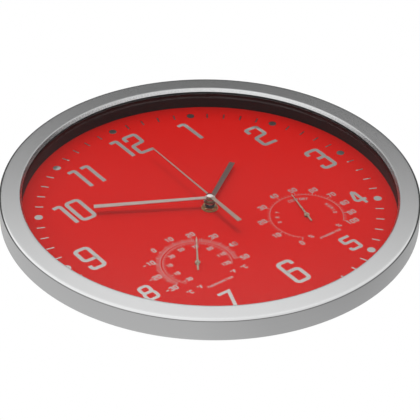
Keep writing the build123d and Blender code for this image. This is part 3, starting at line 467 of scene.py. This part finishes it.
class Print:
    """Ink laid on a flat face as solid strokes a few hundredths of a millimetre high."""

    INK = 0.05 * MM
    GAP = 0.01 * MM
    STAGGER = 0.004 * MM

    def __init__(self, face):
        self.face = face
        self.verts = []
        self.faces = []
        self.count = 0

    def heights(self):
        self.count += 1
        return self.face - self.GAP, self.face - self.INK - self.STAGGER * (self.count % 4)

    def stroke(self, points, width, closed=False):
        """A stroke of even width along a path, in metres, in the face's x and z."""
        low, high = self.heights()
        base = len(self.verts)
        count = len(points)
        for index, point in enumerate(points):
            before = points[index - 1] if closed or index else None
            after = points[(index + 1) % count] if closed or index < count - 1 else None
            sides = []
            if before is not None and (point - before).length > 1e-9:
                sides.append((point - before).normalized())
            if after is not None and (after - point).length > 1e-9:
                sides.append((after - point).normalized())
            along = sum(sides, Vector((0, 0))).normalized()
            across = Vector((-along.y, along.x))
            flare = 1 / max(0.4, abs(along.dot(sides[0])))
            for side in (1, -1):
                edge = point + across * side * width / 2 * flare
                self.verts += [(edge.x, high, edge.y), (edge.x, low, edge.y)]
        spans = count if closed else count - 1
        for index in range(spans):
            a = base + 4 * index
            b = base + 4 * ((index + 1) % count)
            self.faces += [(a, a + 2, b + 2, b), (a + 1, b + 1, b + 3, a + 3),
                           (a, b, b + 1, a + 1), (a + 2, a + 3, b + 3, b + 2)]
        if not closed:
            last = base + 4 * (count - 1)
            self.faces += [(base, base + 1, base + 3, base + 2), (last, last + 2, last + 3, last + 1)]

    def disc(self, x, z, radius, sides=36):
        """A round dot."""
        low, high = self.heights()
        base = len(self.verts)
        for depth in (high, low):
            for step in range(sides):
                turn = 2 * pi * step / sides
                self.verts.append((x + radius * cos(turn), depth, z + radius * sin(turn)))
        self.faces.append(tuple(base + step for step in range(sides)))
        self.faces.append(tuple(base + sides + step for step in reversed(range(sides))))
        for step in range(sides):
            after = (step + 1) % sides
            self.faces.append((base + step, base + sides + step, base + sides + after, base + after))

    def ray(self, x, z, angle, inner, outer, width):
        """A tick along a radius; the angle is clockwise from the top."""
        way = Vector((sin(radians(angle)), cos(radians(angle))))
        middle = Vector((x, z))
        self.stroke([middle + way * inner, middle + way * outer], width)

    def arc(self, x, z, radius, start, end, width, steps=60):
        """A thin arc; angles are clockwise from the top."""
        points = []
        for step in range(steps + 1):
            turn = radians(start + (end - start) * step / steps)
            points.append(Vector((x + radius * sin(turn), z + radius * cos(turn))))
        self.stroke(points, width)

    def glyph(self, sign, x, z, height, width, weight, turn=0.0):
        """One character centred on a point, in a squared face with rounded corners."""
        wide = width - weight
        tall = height - weight
        rotate = Matrix.Rotation(-radians(turn), 2)
        for closed, path in GLYPHS[sign]:
            spread = [Vector(((u - 0.5) * wide, (v - 0.5) * tall)) for u, v in path]
            soft = rounded(spread, TIGHT.get(sign, CORNER) * width, closed) if sign not in SHARP else spread
            placed = [rotate @ p + Vector((x, z)) for p in soft]
            self.stroke(placed, weight, closed)

    def word(self, text, x, z, height, width, weight, pitch, turn=0.0):
        """Characters in a row centred on a point."""
        along = Vector((cos(radians(turn)), -sin(radians(turn))))
        start = -(len(text) - 1) / 2
        for index, sign in enumerate(text):
            spot = Vector((x, z)) + along * pitch * (start + index)
            if sign != " ":
                self.glyph(sign, spot.x, spot.y, height, width * NARROW.get(sign, 1.0), weight, turn)

    def made(self, name, look="silver_ink"):
        piece = mesh_object(name, self.verts, self.faces, "red_dial", look=look)
        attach(piece, "root")
        return piece


# Each sign's strokes: closed or not, and its path from (0, 0) at the lower left to (1, 1). Corners are
# rounded by CORNER of the sign's width, or TIGHT for some, and the signs in SHARP keep theirs.
CORNER = 0.20
TIGHT = {"2": 0.13, "5": 0.10, "3": 0.16}
NARROW = {"1": 0.55, "I": 0.25}
SHARP = "7ITLAVYMNE-%"
GLYPHS = {
    "0": [(True, [(0, 0), (1, 0), (1, 1), (0, 1)])],
    "1": [(False, [(1, 0), (1, 1), (-0.36, 0.98)])],
    "2": [(False, [(0, 0.76), (0, 1), (1, 1), (1, 0.52), (0, 0.46), (0, 0), (1.12, 0)])],
    "3": [(False, [(0, 0.80), (0, 1), (1, 1), (1, 0.54), (0.30, 0.54)]),
          (False, [(0.30, 0.54), (1, 0.54), (1, 0), (0, 0), (0, 0.20)])],
    "4": [(False, [(0.74, -0.09), (0.74, 1.0)]),
          (False, [(0.74, 1.0), (0.52, 1.0), (-0.02, 0.25), (1.12, 0.25)])],
    "5": [(False, [(1, 1), (0, 1), (0, 0.58), (1, 0.58), (1, 0), (0, 0), (0, 0.20)])],
    "6": [(False, [(1, 0.80), (1, 1), (0, 1), (0, 0), (1, 0), (1, 0.56), (0.1, 0.56)])],
    "7": [(False, [(-0.1, 1), (1, 1), (0.28, -0.08)])],
    "8": [(True, [(0, 0), (1, 0), (1, 0.52), (0, 0.52)]),
          (True, [(0.06, 0.52), (0.94, 0.52), (0.94, 1), (0.06, 1)])],
    "9": [(False, [(0, 0.20), (0, 0), (1, 0), (1, 1), (0, 1), (0, 0.44), (0.9, 0.44)])],
    "-": [(False, [(0, 0.5), (1, 0.5)])],
    "%": [(True, [(0, 0.7), (0.35, 0.7), (0.35, 1), (0, 1)]),
          (True, [(0.65, 0), (1, 0), (1, 0.3), (0.65, 0.3)]),
          (False, [(0.1, 0), (0.9, 1)])],
    "*": [(True, [(0.1, 0.6), (0.8, 0.6), (0.8, 1), (0.1, 1)])],
    "C": [(False, [(1, 0.78), (1, 1), (0, 1), (0, 0), (1, 0), (1, 0.22)])],
    "D": [(True, [(0, 0), (0.6, 0), (1, 0.25), (1, 0.75), (0.6, 1), (0, 1)])],
    "E": [(False, [(1, 1), (0, 1), (0, 0), (1, 0)]), (False, [(0, 0.5), (0.85, 0.5)])],
    "F": [(False, [(1, 1), (0, 1), (0, -0.08)]), (False, [(0, 0.52), (0.85, 0.52)])],
    "G": [(False, [(1, 0.8), (1, 1), (0, 1), (0, 0), (1, 0), (1, 0.5), (0.55, 0.5)])],
    "H": [(False, [(0, -0.08), (0, 1.08)]), (False, [(1, -0.08), (1, 1.08)]), (False, [(0, 0.5), (1, 0.5)])],
    "I": [(False, [(0.5, -0.08), (0.5, 1.08)])],
    "M": [(False, [(0, -0.08), (0, 1), (0.5, 0.4), (1, 1), (1, -0.08)])],
    "O": [(True, [(0, 0), (1, 0), (1, 1), (0, 1)])],
    "R": [(False, [(0, -0.08), (0, 1), (1, 1), (1, 0.5), (0, 0.5)]), (False, [(0.5, 0.5), (1.05, -0.08)])],
    "T": [(False, [(-0.1, 1), (1.1, 1)]), (False, [(0.5, 1), (0.5, -0.08)])],
    "U": [(False, [(0, 1.08), (0, 0), (1, 0), (1, 1.08)])],
    "Y": [(False, [(0, 1.08), (0.5, 0.5), (1, 1.08)]), (False, [(0.5, 0.5), (0.5, -0.08)])],
}

# ---------------------------------------------------------------- printing on the dial

HOUR_RING = 143 * MM
HOUR_DOT = 3.45 * MM
TICK_INNER, TICK_OUTER, TICK_WIDTH = 139.2 * MM, 146.0 * MM, 1.3 * MM

marks = Print(DIAL_FRONT)
for minute in range(60):
    angle = 6.0 * minute
    if minute % 5:
        marks.ray(0, 0, angle, TICK_INNER, TICK_OUTER, TICK_WIDTH)
    else:
        marks.disc(HOUR_RING * sin(radians(angle)), HOUR_RING * cos(radians(angle)), HOUR_DOT)
marks.made("minute_marks")

# Each figure: its text, the place of its middle, its height and its digits' width and weight, in mm.
LARGE = (31.5, 15.5, 3.6)
SMALL = (20.0, 12.6, 3.0)
FIGURES = [
    ("12", -1.0, 114.7, LARGE, 16.0), ("1", 56.1, 102.8, LARGE, 0.0), ("2", 102.8, 62.2, LARGE, 0.0),
    ("3", 123.0, 3.1, LARGE, 0.0), ("4", 110.6, -60.8, SMALL, 0.0), ("5", 63.9, -106.6, SMALL, 0.0),
    ("6", 1.7, -109.2, LARGE, 0.0), ("7", -60.8, -107.5, SMALL, 0.0), ("8", -108.8, -64.3, SMALL, 0.0),
    ("9", -120.9, 0.0, LARGE, 0.0), ("10", -96.7, 60.5, LARGE, 14.3), ("11", -57.9, 97.6, LARGE, 13.0),
]
figures = Print(DIAL_FRONT)
for text, x, z, (height, width, weight), pitch in FIGURES:
    figures.word(text, x * MM, z * MM, height * MM, width * MM, weight * MM, pitch * MM)
figures.made("hour_figures")


def around(middle, radius, angle):
    """A point at a radius in mm and an angle clockwise from the top, about an instrument's middle."""
    return middle[0] + radius * MM * sin(radians(angle)), middle[2] + radius * MM * cos(radians(angle))


def in_mm(values):
    """Sizes in metres from sizes in mm."""
    return [value * MM for value in values]


FINE = 0.28 * MM
BOLD = 1.7
# Text sizes in mm: height, width, weight and pitch.
OUTER_TEXT = (5.5, 3.3, 0.95, 4.0)
INNER_TEXT = (4.0, 2.4, 0.75, 2.9)

thermometer = JOINT_PLACE["thermometer_turn"]
CELSIUS_FIGURES, CELSIUS_RING, CELSIUS_TICK, CELSIUS_LONG_TICK = 39.4, 30.2, 33.7, 34.6
FAHRENHEIT_FIGURES, FAHRENHEIT_RING, FAHRENHEIT_TICK = 22.8, 28.0, 26.0
CELSIUS_STEP, CELSIUS_TOP = 2.8, 10
FAHRENHEIT_STEP, FAHRENHEIT_TOP, FAHRENHEIT_SHIFT = 31.1 / 20, 50, 0.7
UNIT_WEIGHT = 0.75


def warm(fahrenheit):
    """Where a temperature stands on the inner scale, clockwise from the top."""
    return FAHRENHEIT_STEP * (fahrenheit - FAHRENHEIT_TOP) + FAHRENHEIT_SHIFT


scale = Print(DIAL_FRONT)
for celsius in range(-30, 51, 10):
    x, z = around(thermometer, CELSIUS_FIGURES, CELSIUS_STEP * (celsius - CELSIUS_TOP))
    scale.word(str(celsius), x, z, *in_mm(OUTER_TEXT))
for celsius in range(-30, 51):
    angle = CELSIUS_STEP * (celsius - CELSIUS_TOP)
    end, width = (CELSIUS_TICK, FINE) if celsius % 5 else (CELSIUS_LONG_TICK, FINE * BOLD)
    scale.ray(thermometer[0], thermometer[2], angle, CELSIUS_RING * MM, end * MM, width)
for fahrenheit in range(-30, 131, 20):
    x, z = around(thermometer, FAHRENHEIT_FIGURES, warm(fahrenheit))
    scale.word(str(fahrenheit), x, z, *in_mm(INNER_TEXT))
for fahrenheit in range(-30, 131, 4):
    scale.ray(thermometer[0], thermometer[2], warm(fahrenheit), FAHRENHEIT_TICK * MM,
              FAHRENHEIT_RING * MM, FINE)
scale.arc(thermometer[0], thermometer[2], CELSIUS_RING * MM, -112, 112, FINE)
scale.arc(thermometer[0], thermometer[2], FAHRENHEIT_RING * MM, -124, 125, FINE)
# The units at both ends of each scale: a raised ring and a letter, at a radius, an angle and a height.
for unit, radius, angle, height in (("C", 37.8, -135, 4.6), ("C", 37.8, 132, 4.6),
                                    ("F", 30.6, -148, 4.0), ("F", 30.6, 145, 4.0)):
    x, z = around(thermometer, radius, angle)
    scale.glyph("*", x - 1.9 * MM, z + 0.9 * MM, 0.55 * height * MM, 0.5 * height * MM, 0.5 * MM)
    scale.glyph(unit, x + 0.9 * MM, z, height * MM, 0.62 * height * MM, UNIT_WEIGHT * MM)
scale.word("THERMOMETER", thermometer[0], thermometer[2] - 30.2 * MM, *in_mm((2.4, 1.7, 0.45, 2.3)))
scale.made("thermometer_scale")

hygrometer = JOINT_PLACE["hygrometer_turn"]
HUMIDITY_FIGURES, HUMIDITY_RING, HUMIDITY_TICK, HUMIDITY_LONG_TICK = 38.4, 30.8, 33.0, 34.2
COMFORT_RING, PERCENT_RING = 24.7, 29.0


def humid(percent):
    """Where a relative humidity stands on the scale, clockwise from the top."""
    tens = percent / 10
    return -135 + 35.2 * tens - 0.8 * tens * tens


scale = Print(DIAL_FRONT)
for percent in range(0, 101, 10):
    x, z = around(hygrometer, HUMIDITY_FIGURES, humid(percent))
    scale.word(str(percent), x, z, *in_mm(OUTER_TEXT))
for percent in range(0, 101, 2):
    end, width = (HUMIDITY_TICK, FINE) if percent % 10 else (HUMIDITY_LONG_TICK, FINE * BOLD)
    scale.ray(hygrometer[0], hygrometer[2], humid(percent), HUMIDITY_RING * MM, end * MM, width)
scale.arc(hygrometer[0], hygrometer[2], HUMIDITY_RING * MM, -135, 137, FINE)
for text, start, end in (("DRY", -84, -35), ("COMFORT", 0, 42), ("HUMID", 78, 117)):
    for index, sign in enumerate(text):
        angle = start + (end - start) * (index + 0.5) / len(text)
        x, z = around(hygrometer, COMFORT_RING, angle)
        scale.glyph(sign, x, z, 3.4 * MM, 2.0 * MM * NARROW.get(sign, 1.0), 0.5 * MM, turn=angle)
for angle in (-148, 153):
    x, z = around(hygrometer, PERCENT_RING, angle)
    scale.glyph("%", x, z, 4.2 * MM, 3.8 * MM, 0.55 * MM)
scale.word("HYGROMETER", hygrometer[0], hygrometer[2] - 31.0 * MM, *in_mm((2.4, 1.6, 0.45, 2.2)))
scale.made("hygrometer_scale")

# ---------------------------------------------------------------- the bezel, finer than the CAD facets

SEGMENTS = 320
SHARP_ANGLE = 32


def turned(name, profile, slot, replaces):
    """A ring turned about the hands' axis, in place of a CAD node.

    Its profile is a closed outline of (radius, y) points in metres."""
    count = len(profile)
    verts = []
    for step in range(SEGMENTS):
        turn = 2 * pi * step / SEGMENTS
        verts += [(radius * cos(turn), y, radius * sin(turn)) for radius, y in profile]
    faces = []
    for step in range(SEGMENTS):
        after = (step + 1) % SEGMENTS
        for index in range(count):
            beside = (index + 1) % count
            here, there = step * count, after * count
            faces.append((here + index, here + beside, there + beside, there + index))
    made = mesh_object(name, verts, faces, slot, smooth=True)
    made.data.set_sharp_from_angle(angle=radians(SHARP_ANGLE))
    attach(made, "root")
    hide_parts(replaces)
    return made


def softened(points, radii, steps=5):
    """An outline with its corners rounded by their own radii, in mm, as (radius, depth) pairs."""
    found = []
    for index, (point, radius) in enumerate(zip(points, radii)):
        if radius == 0:
            found.append(Vector(point))
            continue
        trio = [points[index - 1], point, points[(index + 1) % len(points)]]
        found += rounded(trio, radius, False, steps)[1:-1]
    return [(p.x * MM, CASE_FRONT + p.y * MM) for p in found]


# The bezel's outline in mm: its lip, a flat cone for a face, a rounded edge, the band and a rear flange.
SHEET = 1.4
LIP_RADIUS, LIP_DEPTH = 156.1, 2.85
LIP_ROLL, BACK_ROLL = 0.3, 0.3
FACE_INNER = 157.7
FLANGE_RADIUS = 162.0
FACE_FALL = 0.35
EDGE_ROUND = 2.25
outer = CASE_RADIUS / MM
band_back = (BAND_BACK - CASE_FRONT) / MM
edge_start = outer - EDGE_ROUND
FACE_STEPS = 8
face = []
for step in range(FACE_STEPS + 1):
    share = step / FACE_STEPS
    face.append((FACE_INNER + (edge_start - FACE_INNER) * share, FACE_FALL * share))
edge = []
EDGE_STEPS = 12
for step in range(1, EDGE_STEPS + 1):
    turn = pi / 2 * step / EDGE_STEPS
    edge.append((edge_start + EDGE_ROUND * sin(turn), FACE_FALL + EDGE_ROUND * (1 - cos(turn))))
inside = [
    (FLANGE_RADIUS, band_back), (FLANGE_RADIUS, band_back - SHEET), (outer - SHEET, band_back - SHEET),
    (outer - SHEET, EDGE_ROUND + FACE_FALL), (edge_start, SHEET + FACE_FALL), (FACE_INNER + 0.9, SHEET),
    (LIP_RADIUS + 1.5, LIP_DEPTH)]
outline = [(LIP_RADIUS, LIP_DEPTH)] + face + edge + [(outer, band_back)] + inside
radii = [0.0, LIP_ROLL] + [0.0] * (len(face) - 1 + len(edge)) + [BACK_ROLL] + [0.0] * len(inside)
turned("bezel_skin", softened(outline, radii), "satin_aluminium", "bezel")

# ---------------------------------------------------------------- stage

FLOOR_DROP = 1.32
FLOOR_HALF = 14.0
floor_z = cad_box[0][2] - FLOOR_DROP
corners = [(x * FLOOR_HALF, y * FLOOR_HALF, floor_z) for x, y in ((-1, -1), (1, -1), (1, 1), (-1, 1))]
FINISHES["floor"] = finish("floor", (0.86, 0.855, 0.85), rough=0.7, spread=0.01, broad=2.0, grain=60.0,
                           relief=0.02)
data = bpy.data.meshes.new("floor")
data.from_pydata(corners, [], [(0, 1, 2, 3)])
data.materials.append(FINISHES["floor"])
floor = bpy.data.objects.new("floor", data)
bpy.context.scene.collection.objects.link(floor)
floor.visible_glossy = False
